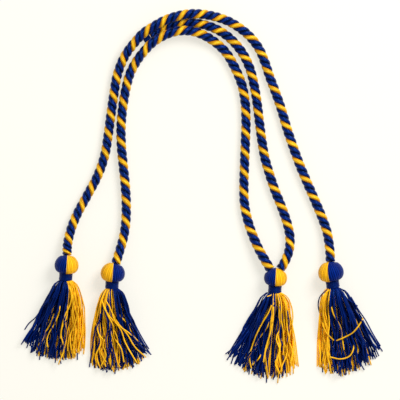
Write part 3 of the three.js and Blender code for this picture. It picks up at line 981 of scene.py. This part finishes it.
@dataclass
class Skirt:
    """The loose yarn below a neck, laid strand by strand in the locks' shape.

    A lock has body strands, which settle on each other, and loose strands that lie over them; the
    counts are for a lock of bulk 1. radius is a strand's and root_radius the same in the neck.
    body_share is how much of the lock's thickness its body fills and mingling how far it spreads.
    A sway is how far a strand swings and drifts sideways. A reach is the mean and the spread of
    the strands' ends, as shares of the lock's. room is how far a strand may stand out of the
    outer locks, at the neck and at the skirt's end. Strands of the other yarn come from
    other_root on their own side of the neck and have crossed over at the share crossed of the
    skirt's length. mixing is how readily a loose gold strand is blue instead.

    ceiling_heights, in millimetres, are how high a strand may lie at the ceiling_shares of the
    length, and crowding is how much more one may. A step is the distance between a strand's points
    and a start the length in which it comes up from between the others. stray_lift and stray_dip
    are how much higher a stray may lie and how deep it starts; buried_share of the loose strands
    are laid before the strays that aren't over.

    The body is settled at some levels, the last at the share deepest of the length, in rounds of
    one push and one sink. The first held_share of it moves less, and a strand still pushes as far
    below its end as tail. place_step is the turn of the series that spreads its strands.
    """

    plan: TasselPlan
    frame: Matrix
    neck_end: float
    seed: int
    body_strands: float = 11
    loose_strands: float = 5.5
    radius: float = 0.74 * MM
    root_radius: float = 0.48 * MM
    full_radius_share: float = 0.12
    body_share: float = 0.62
    mingling: float = 1.15
    mixing: float = 0.3
    body_sway: tuple[float, float] = (0.9 * MM, 1.5 * MM)
    loose_sway: tuple[float, float] = (2.2 * MM, 2.4 * MM)
    wave_pitch: tuple[float, float] = (24 * MM, 60 * MM)
    body_reach: tuple[float, float] = (0.965, 0.02)
    loose_reach: tuple[float, float] = (0.955, 0.035)
    other_reach: float = 0.015
    other_root: float = 0.55
    crossed: float = 0.3
    flare: float = 1.1
    room: tuple[float, float] = (0.3 * MM, 1.3 * MM)
    ceiling_shares: tuple[float, ...] = (0, 0.12, 0.3, 0.6, 1)
    ceiling_heights: tuple[float, ...] = (19, 17, 15.5, 12, 8)
    crowding: float = 1.2 * MM
    loose_step: float = 1.5 * MM
    loose_start: float = 9 * MM
    stray_step: float = 1.2 * MM
    stray_start: float = 6 * MM
    stray_lift: float = 0.8 * MM
    stray_dip: float = 3.2 * MM
    buried_share: float = 0.6
    levels: int = 17
    deepest: float = 1.06
    place_step: float = 0.618
    rounds: int = 60
    push: float = 0.3
    sink: float = 0.04 * MM
    held_share: float = 0.14
    tail: float = 8 * MM
    end_gap: float = 2 * MM
    pile_points: int = 64
    sides: int = 6
    rings: int = 20
    line_pitch: float = 9 * MM
    tones: tuple[float, float] = (0.8, 1.15)

    def __post_init__(self) -> None:
        """Work out what the strands are laid by."""
        self.length = self.plan.skirt * SKIRT_LENGTH
        below = self.frame @ Matrix.Translation((0, -self.neck_end, 0))
        self.top = np.array(below.to_translation())
        self.down = -np.array(self.frame.to_3x3().col[1])
        self.random = np.random.default_rng(self.seed)
        self.depths = np.linspace(0, self.deepest * self.length, self.levels)
        self.limit = CORE_RADIUS - self.root_radius

    def radii(self, depths: Array) -> Array:
        """A strand's radius at each depth: it is drawn tight in the neck."""
        shares = [0, self.full_radius_share * self.length]
        return np.interp(depths, shares, [self.root_radius, self.radius])

    def middle_line(self, lock: Lock, depths: Array) -> tuple[Array, Array, float]:
        """A lock's middle line in plan.

        Args:
            lock: the lock.
            depths: distances below the neck.

        Returns:
            The places across at those depths, their shares of the line, and the line's depth.
        """
        size = self.length
        path = SmoothPath((
            (lock.root * CORE_RADIUS, 0), (lock.shoulder * size, SHOULDER * size),
            (lock.middle * size, MIDDLE * size), (lock.tip * size, lock.reach * size),
        ))
        across, down = path.line.T
        slope = (across[-1] - across[-4]) / (down[-1] - down[-4])
        middle = np.interp(depths, down, across) + slope * np.clip(depths - down[-1], 0, None)
        near = np.clip(depths / (SHOULDER * size), 0, 1)
        flare = self.flare * near**0.7 * (1 - near) ** 2
        middle = middle + (lock.shoulder * size - lock.root * CORE_RADIUS) * flare
        return middle, np.interp(depths, down, path.distance / path.length), float(down[-1])

    def kept_within(self, x: Array, depths: Array) -> Array:
        """Keep strands inside the outer locks, with more room towards the ends.

        Args:
            x: places across.
            depths: their distances below the neck.

        Returns:
            The places, none outside the locks and their room.
        """
        room = self.room[0] + self.room[1] * (depths / self.length) ** 2
        sides = []
        for lock, side in ((self.plan.locks[0], -1), (self.plan.locks[-1], 1)):
            middle, along, _ = self.middle_line(lock, depths)
            sides.append(middle + side * (lock.half_width(along) + room))
        return np.clip(x, *sides)

    def waves(self, count: int, depths: Array, sway: tuple[float, float]) -> Array:
        """How far strands stray sideways from their places.

        Args:
            count: how many strands.
            depths: distances below the neck.
            sway: how far they swing to and fro, and how far they drift.

        Returns:
            The distances by strand and depth.
        """
        share = depths / self.length
        size = self.random.uniform(0.3, 1, (count, 1)) * sway[0]
        pitch = self.random.uniform(*self.wave_pitch, (count, 1))
        phase = self.random.uniform(0, 2 * math.pi, (count, 1))
        chance = np.clip(self.random.standard_normal((2, count, 1)), -1.6, 1.6)
        aside = sway[1] * (chance[0] * share + 0.6 * chance[1] * np.sin(share * 3))
        free = np.clip(share * 2.6 - 0.25, 0, 1) * (0.65 + 0.7 * share)
        return (size * np.sin(2 * math.pi * depths / pitch + phase) + aside) * free

    def body_of(self, lock: Lock) -> tuple[list[Yarn], Array, Array, Array]:
        """Lay the strands in one lock's body without regard to each other.

        Args:
            lock: the lock.

        Returns:
            Their yarns, their places across and heights by strand and level, and their ends.
        """
        count = round(self.body_strands * lock.bulk**2)
        depths = self.depths[None]
        middle, along, reach = self.middle_line(lock, depths)
        place = 2 * np.modf(np.arange(count)[:, None] * self.place_step + self.random.random())[0] - 1
        layer = (np.arange(count)[:, None] + 0.5) / count
        others = self.random.random(count) < 2 * lock.under * layer[:, 0]
        x = middle + self.mingling * place * lock.half_width(along)
        x = x + self.waves(count, depths, self.body_sway)
        crossing = np.clip(1 - depths / (self.crossed * self.length), 0, 1) ** 2
        other_root = self.other_root if lock.yarn is self.plan.left else -self.other_root
        x = x + (other_root - lock.root) * CORE_RADIUS * crossing * others[:, None]
        x = self.kept_within(x, depths)
        x[:, 0] = np.clip(x[:, 0], -self.limit, self.limit)
        top = self.body_share * lock.section("thickness", along) * lock.bulk * LOCK_THICKNESS
        low = self.radius + layer * (top * np.sqrt(1 - 0.6 * place**2) - 2 * self.radius)
        neck = self.top[2] + (2 * layer - 1) * np.sqrt(self.limit**2 - x[:, :1] ** 2)
        z = low + (neck - low) * lock.section("rise", along)
        yarns = [lock.yarn.other if other else lock.yarn for other in others]
        ends = self.random.normal(*self.body_reach, count) + self.other_reach * others
        return yarns, x, z, reach * ends

    def settle(self, x: Array, z: Array, ends: Array) -> None:
        """Push strands apart where they overlap and let them sink, in place.

        Args:
            x: places across, by strand and level.
            z: heights, by strand and level.
            ends: the depths at which the strands end.
        """
        live = (self.depths[None] <= ends[:, None] + self.tail).astype(float)
        pairs = live[:, None] * live[None]
        pairs[np.arange(len(x)), np.arange(len(x))] = 0
        radii = self.radii(self.depths)
        free = np.clip(self.depths / (self.held_share * self.length), 0, 1)
        for _ in range(self.rounds):
            aside, above = x[:, None] - x[None], z[:, None] - z[None]
            apart = np.sqrt(aside**2 + above**2) + 1e-9
            push = self.push * pairs * np.clip(2 * radii - apart, 0, None) / apart
            x += free * (push * aside).sum(axis=1)
            z += free * ((push * above).sum(axis=1) - self.sink)
            for line in (x, z):
                line[:, 1:-1] = 0.7 * line[:, 1:-1] + 0.15 * (line[:, :-2] + line[:, 2:])
            np.maximum(z, radii, out=z)

    def bodies(self) -> list[tuple[Yarn, Array]]:
        """The settled strands of all locks' bodies, as their yarns and points."""
        laid = [self.body_of(lock) for lock in self.plan.locks]
        yarns = [yarn for part in laid for yarn in part[0]]
        x, z, ends = (np.concatenate([part[i] for part in laid]) for i in (1, 2, 3))
        self.settle(x, z, ends)
        strands = []
        for yarn, across, height, end in zip(yarns, x, z, ends):
            depths = np.append(self.depths[self.depths < end - self.end_gap], end)
            across, height = (np.interp(depths, self.depths, line) for line in (across, height))
            strands.append((yarn, self.from_neck(depths, across, height)))
        return strands

    def from_neck(self, depths: Array, x: Array, z: Array) -> Array:
        """Points of a strand that comes out of the band.

        Args:
            depths: distances below the neck.
            x: places across at those depths.
            z: heights at those depths.

        Returns:
            The points, after one that is a little way up the neck.
        """
        points = np.stack([self.top[0] + x, self.top[1] - depths, z], axis=1)
        return np.vstack([points[0] - self.down * 0.8 * MM, points])

    def resting_height(self, plan: Array, pile: Array) -> Array:
        """Heights at which a strand lies on whatever is under it.

        Args:
            plan: the strand's points seen from above.
            pile: points of the strands that are there already.

        Returns:
            A height for each point of the plan.
        """
        reach = np.linalg.norm(plan[:, None] - pile[None, :, :2], axis=2)
        lift = np.sqrt(np.clip((2 * self.radius) ** 2 - reach**2, 0, None))
        touched = reach < 2 * self.radius
        height = np.where(touched, pile[None, :, 2] + lift, self.radius).max(axis=1)
        return around(around(height, 2).max(axis=0), 2).mean(axis=0)

    def loose_strand(self, lock: Lock, pile: Array) -> Array:
        """Lay one wavy strand over the others from the neck down.

        Args:
            lock: the lock that it belongs to.
            pile: points of the strands that are there already.

        Returns:
            The strand's points.
        """
        reach = self.middle_line(lock, np.zeros(1))[2] * self.random.normal(*self.loose_reach)
        depths = np.linspace(0, reach, round(reach / self.loose_step))
        middle, along, _ = self.middle_line(lock, depths)
        place = self.random.uniform(-1, 1)
        x = middle + place * lock.half_width(along)
        x = self.kept_within(x + self.waves(1, depths, self.loose_sway)[0], depths)
        x[0] = np.clip(x[0], -0.95 * self.limit, 0.95 * self.limit)
        neck = self.top[2] + math.sqrt(self.limit**2 - x[0] ** 2)
        plan = np.stack([self.top[0] + x, self.top[1] - depths], axis=1)
        free = eased(np.clip(depths / self.loose_start, 0, 1))
        z = neck + (self.resting_height(plan, pile) - neck) * free
        return self.from_neck(depths, x, np.minimum(z, self.ceiling(depths)))

    def ceiling(self, depths: Array) -> Array:
        """How high one strand may lie at each depth, pressed into the others if it must."""
        heights = np.interp(depths / self.length, self.ceiling_shares, self.ceiling_heights) * MM
        return heights + self.random.uniform(0, self.crowding)

    def stray_strand(self, stray: Stray, pile: Array) -> Array:
        """Lay one stray strand on whatever is under it, its start tucked between the others.

        Args:
            stray: the strand's plan.
            pile: points of the strands that are there already.

        Returns:
            The strand's points.
        """
        path = SmoothPath(np.array(stray.plan) * MM)
        plan = path.spread(max(8, round(path.length / self.stray_step)))
        start = np.clip(1 - np.linspace(0, path.length, len(plan)) / self.stray_start, 0, 1)
        height = self.resting_height(plan, pile) - self.stray_dip * start
        highest = self.ceiling(self.top[1] - plan[:, 1]) + self.stray_lift
        return np.column_stack([plan, np.maximum(np.minimum(height, highest), self.radius)])

    def order(self) -> list[Lock | Stray]:
        """What is laid over the bodies, from the bottom up: a loose strand's lock, or a stray."""
        loose = [
            lock for lock in self.plan.locks for _ in range(round(self.loose_strands * lock.bulk))
        ]
        loose = [loose[number] for number in self.random.permutation(len(loose))]
        first = round(self.buried_share * len(loose))
        buried = [stray for stray in self.plan.strays if not stray.over]
        over = [stray for stray in self.plan.strays if stray.over]
        return [*loose[:first], *buried, *loose[first:], *over]

    def add_to(self, shells: dict[Yarn, ShellMesh]) -> None:
        """Add every strand to the mesh of its yarn."""
        strands = self.bodies()
        pile = np.vstack([SmoothPath(points).spread(self.pile_points) for _, points in strands])
        for laid in self.order():
            yarn = laid.yarn
            if isinstance(laid, Stray):
                points = self.stray_strand(laid, pile)
            else:
                points = self.loose_strand(laid, pile)
                if yarn is GOLD and self.random.random() < self.mixing * laid.under:
                    yarn = BLUE
            strands.append((yarn, points))
            pile = np.vstack([pile, points])
        for yarn, points in strands:
            line = SmoothPath(points, steps=4).spread(self.rings)
            radii = self.radii(self.top[1] - line[:, 1])
            tone = self.random.uniform(*self.tones)
            shells[yarn].tube(line, radii, self.sides, self.line_pitch, tone, slot=1)


@dataclass
class Tassel:
    """One tassel: its ball, its neck band and its skirt.

    routes are the middle lines of the ropes in its ball, each from the ball on. thread is the
    width of the band's thread and waist how much narrower the band is halfway down.
    """

    plan: TasselPlan
    routes: tuple[Route, ...]
    seed: int
    thread: float = 1.0 * MM
    bed: float = 0.45
    waist: float = 0.2 * MM
    gap: float = 0.1 * MM

    def __post_init__(self) -> None:
        """Place the ball at the end of its first rope."""
        self.radius = self.plan.ball * BALL_DIAMETER / 2
        end, after = (np.array(point) for point in self.routes[0][:2])
        heading = unit(after - end)[:2]
        centre = end[:2] - heading / np.linalg.norm(heading) * ROPE_SEAT * self.radius
        turn = Matrix.Rotation(math.radians(self.plan.lean), 4, "Z") @ Matrix.Rotation(
            math.radians(NECK_DROOP), 4, "X"
        )
        self.frame = Matrix.Translation((*centre, self.radius)) @ turn
        self.neck_end = BAND_PLACE * self.radius + BAND_LENGTH

    def build(self, finishes: Finishes) -> None:
        """Make the tassel's pieces."""
        ball = WoundBall(self.plan, self.frame, self.radius, tuple(r[0] for r in self.routes))
        shells = {yarn: ShellMesh() for yarn in Yarn}
        for yarn, shell in shells.items():
            ball.add_half(shell, yarn)
        Skirt(self.plan, self.frame, self.neck_end, self.seed).add_to(shells)
        for yarn, shell in shells.items():
            materials = (finishes.wound[yarn], finishes.loose[yarn])
            piece = shell.finish(f"{self.plan.name}_{yarn.value}_strands", materials)
            dress(piece, f"{yarn.value}_yarn", f"{self.plan.name}_{yarn.value}_yarn")
        shell = ShellMesh()
        Coil(
            self.frame, BAND_DIAMETER / 2 - self.bed * self.thread,
            self.neck_end - BAND_LENGTH + self.gap, self.neck_end, self.thread, self.waist,
        ).add_to(shell)
        piece = shell.finish(f"{self.plan.name}_band_thread", (finishes.band,))
        dress(piece, "band_thread", f"{self.plan.name}_neck_band")
        LOG.info("%s done", self.plan.name)


@dataclass(frozen=True)
class Studio:
    """Camera straight above, a plain floor and soft light from the upper right."""

    middle: tuple[float, float] = (-1 * MM, 117 * MM)
    frame_width: float = 400 * MM
    camera_height: float = 1.5
    floor_size: float = 3
    floor_colour: Colour = (0.34, 0.33, 0.31)
    floor_glow: Colour = (1, 0.98, 0.88)
    glow_strength: float = 0.64
    sky_colour: Colour = (1, 0.99, 0.97)
    sky_strength: float = 0.58
    lamp_place: Point = (0.75, 0.95, 1.25)
    lamp_tilt: float = math.radians(44)
    lamp_turn: float = math.radians(138)
    lamp_size: float = 0.8
    lamp_power: float = 26

    def add_camera(self) -> None:
        """Make the scene's camera."""
        data = bpy.data.cameras.new("Camera")
        data.type = "ORTHO"
        data.ortho_scale = self.frame_width
        camera = new_object("Camera", data)
        camera.location = (*self.middle, self.camera_height)
        bpy.context.scene.camera = camera

    def add_floor(self) -> None:
        """Make the floor, which gives off part of its light so that shadows on it stay faint."""
        mesh = bmesh.new()
        bmesh.ops.create_grid(mesh, x_segments=1, y_segments=1, size=self.floor_size)
        data = bpy.data.meshes.new("Floor")
        mesh.to_mesh(data)
        mesh.free()
        material = bpy.data.materials.new("Floor")
        material.use_nodes = True
        write = NodeWriter(material.node_tree)
        write.fill(material.node_tree.nodes["Principled BSDF"].inputs, {
            "Base Color": self.floor_colour, "Roughness": 0.9, "Specular IOR Level": 0.1,
            "Emission Color": self.floor_glow, "Emission Strength": self.glow_strength,
        })
        data.materials.append(material)
        new_object("Floor", data)

    def add_light(self) -> None:
        """Make the soft light all round and the large lamp."""
        world = bpy.data.worlds.new("World")
        bpy.context.scene.world = world
        world.use_nodes = True
        NodeWriter(world.node_tree).fill(world.node_tree.nodes["Background"].inputs, {
            "Color": self.sky_colour, "Strength": self.sky_strength,
        })
        data = bpy.data.lights.new("Key", "AREA")
        data.size = self.lamp_size
        data.energy = self.lamp_power
        lamp = new_object("Key", data)
        lamp.location = self.lamp_place
        lamp.rotation_euler = Euler((self.lamp_tilt, 0, self.lamp_turn))
        bpy.context.scene.view_settings.view_transform = "Standard"


def build_cord() -> None:
    """Make the camera, the ropes, the tassels and the studio in that order."""
    studio = Studio()
    studio.add_camera()
    finishes = Finishes.make()
    outer = TwistedRope("cord_outer", OUTER_ROUTE, 19.1 * MM, 15.2 * MM, tighter=0.42)
    inner = TwistedRope("cord_inner", INNER_ROUTE, 19.8 * MM, 4.2 * MM)
    middle = TwistedRope("cord_middle", MIDDLE_ROUTE, 19.2 * MM, 9 * MM)
    for rope in (outer, inner):
        rope.declare(rope.build(finishes), "object")
    middle.declare(middle.build(finishes), "fitting", Whipping(middle).build(finishes))
    endings = {
        "tassel_1": (OUTER_ROUTE,),
        "tassel_2": (INNER_ROUTE,),
        "tassel_3": (INNER_ROUTE[::-1], MIDDLE_ROUTE),
        "tassel_4": (OUTER_ROUTE[::-1],),
    }
    for seed, plan in enumerate(PLANS):
        Tassel(plan, endings[plan.name], seed).build(finishes)
    studio.add_floor()
    studio.add_light()


def main() -> None:
    """Build the scene."""
    logging.basicConfig(level=logging.INFO, format="%(name)s: %(message)s")
    build_cord()


if __name__ == "__main__":
    main()
